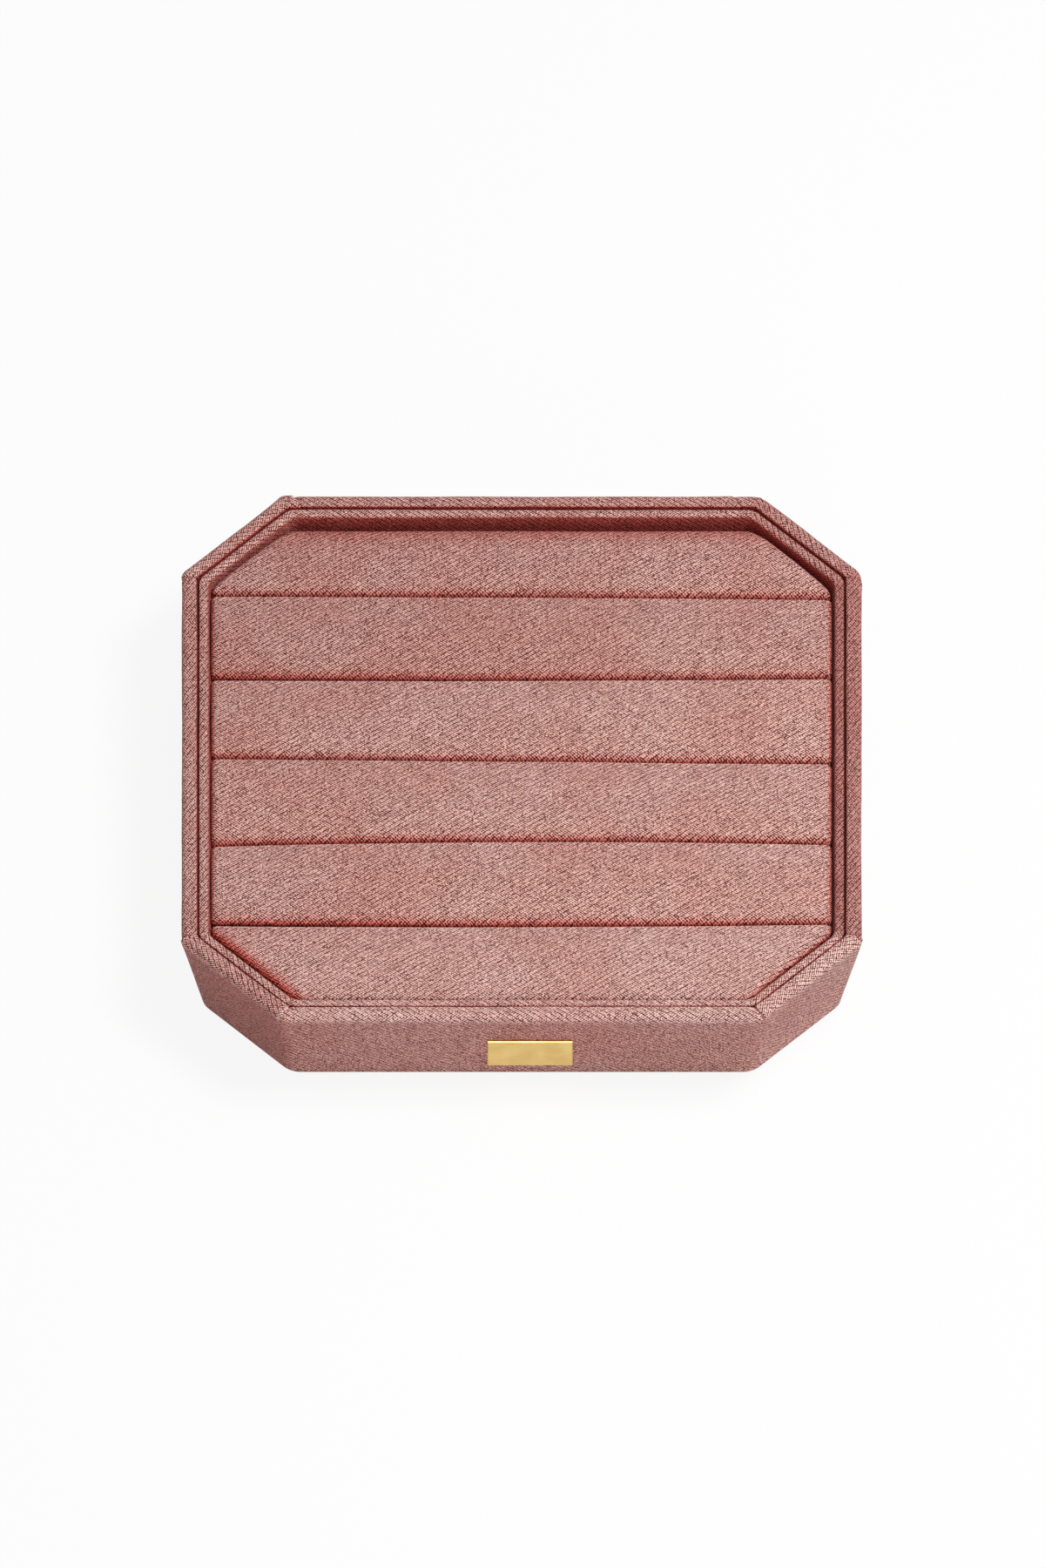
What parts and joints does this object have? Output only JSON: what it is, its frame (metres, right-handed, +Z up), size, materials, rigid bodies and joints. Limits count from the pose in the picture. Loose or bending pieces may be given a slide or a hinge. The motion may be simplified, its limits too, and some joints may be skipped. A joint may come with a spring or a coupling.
{
  "type": "jewelry ring tray",
  "caption": "Shallow open jewelry tray with cut corners and leaning cloth-wrapped walls, holding a lift-out insert of padded bars whose slits grip finger rings.",
  "frame": {"origin": "middle of the underside, on the surface the tray stands on", "axes": "+Z up; +X to the right as seen from the front; the front with the metal plate faces -Y"},
  "size_m": [0.2, 0.2, 0.0335],
  "materials": {
    "rose_twill": "dusty rose brushed twill, ribbed on the slant",
    "board": "raw thin fibreboard",
    "card": "plain grey card",
    "foam": "open-cell foam",
    "felt": "short felt",
    "brass": "satin, bare"
  },
  "bodies": {
    "tray": {"bottom_felt": "felt", "base_board": "board", "front_wall_board": "board", "front_right_wall_board": "board", "right_wall_board": "board", "back_right_wall_board": "board", "back_wall_board": "board", "back_left_wall_board": "board", "left_wall_board": "board", "front_left_wall_board": "board", "outer_wrap": "rose_twill", "liner_strip": "card", "liner_cloth": "rose_twill", "nameplate": "brass"},
    "ring_insert": {"insert_card": "card", "bar_1_foam": "foam", "bar_1_cover": "rose_twill", "bar_2_foam": "foam", "bar_2_cover": "rose_twill", "bar_3_foam": "foam", "bar_3_cover": "rose_twill", "bar_4_foam": "foam", "bar_4_cover": "rose_twill", "bar_5_foam": "foam", "bar_5_cover": "rose_twill", "bar_6_foam": "foam", "bar_6_cover": "rose_twill"}
  },
  "joints": [
    {"name": "insert_lift", "type": "slide", "parent": "tray", "child": "ring_insert", "axis": [0, 0, 1], "range_m": [0, 0.045]}
  ]
}
